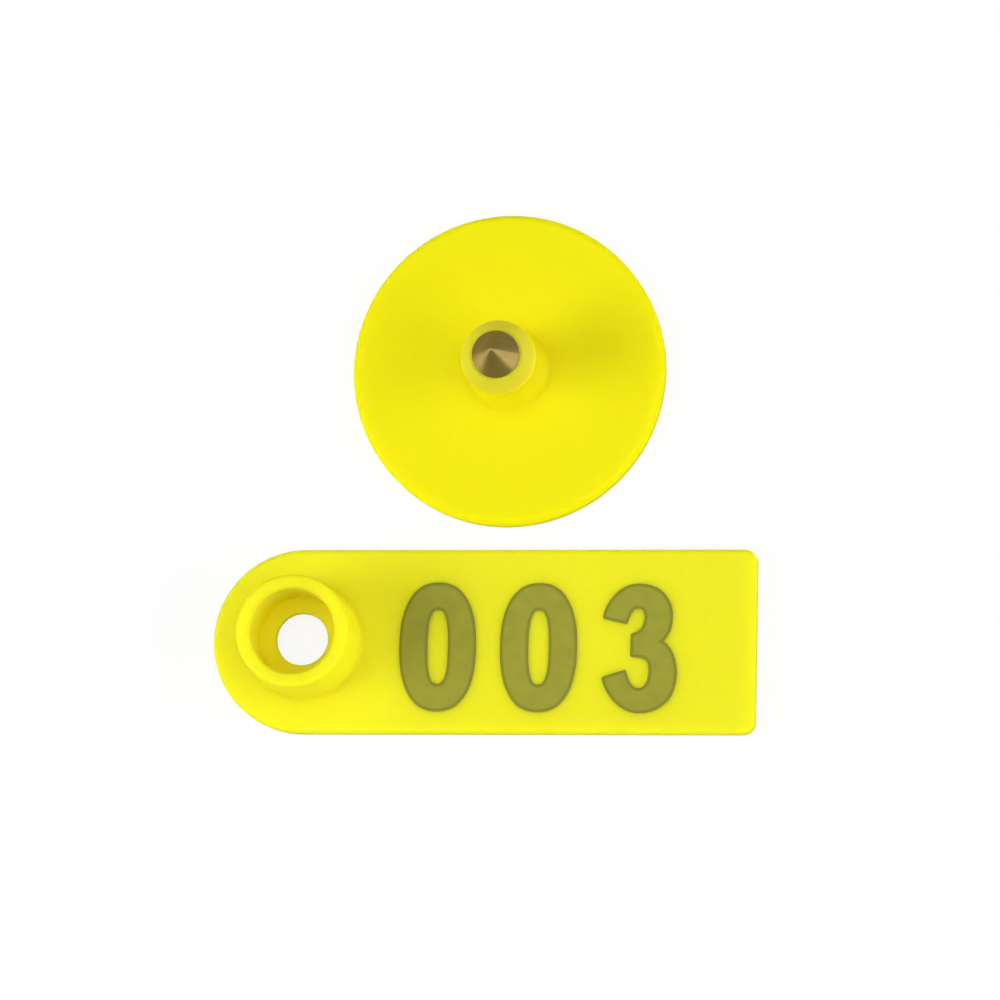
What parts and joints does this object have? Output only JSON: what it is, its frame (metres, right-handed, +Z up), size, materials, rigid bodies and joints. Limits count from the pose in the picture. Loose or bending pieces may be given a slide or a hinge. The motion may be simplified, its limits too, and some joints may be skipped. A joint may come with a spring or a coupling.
{
  "type": "livestock ear tag",
  "caption": "Livestock ear tag laid open: a long flag with a hollow locking collar, beside a round button whose barbed stud ends in a brass piercing point.",
  "frame": {"origin": "on the table, under the middle of the pair's box", "axes": "+X along the flag towards its free end, +Y across it towards the button, +Z up from the table, the way the collar and the stud point"},
  "size_m": [0.052, 0.0498, 0.0131],
  "materials": {
    "yellow_tpu": "satin moulded polyurethane",
    "turned_brass": "turned",
    "laser_mark": "burnt matt mark"
  },
  "bodies": {
    "root": {"female_flag": "yellow_tpu", "male_button": "yellow_tpu", "piercing_tip": "turned_brass"}
  },
  "joints": []
}
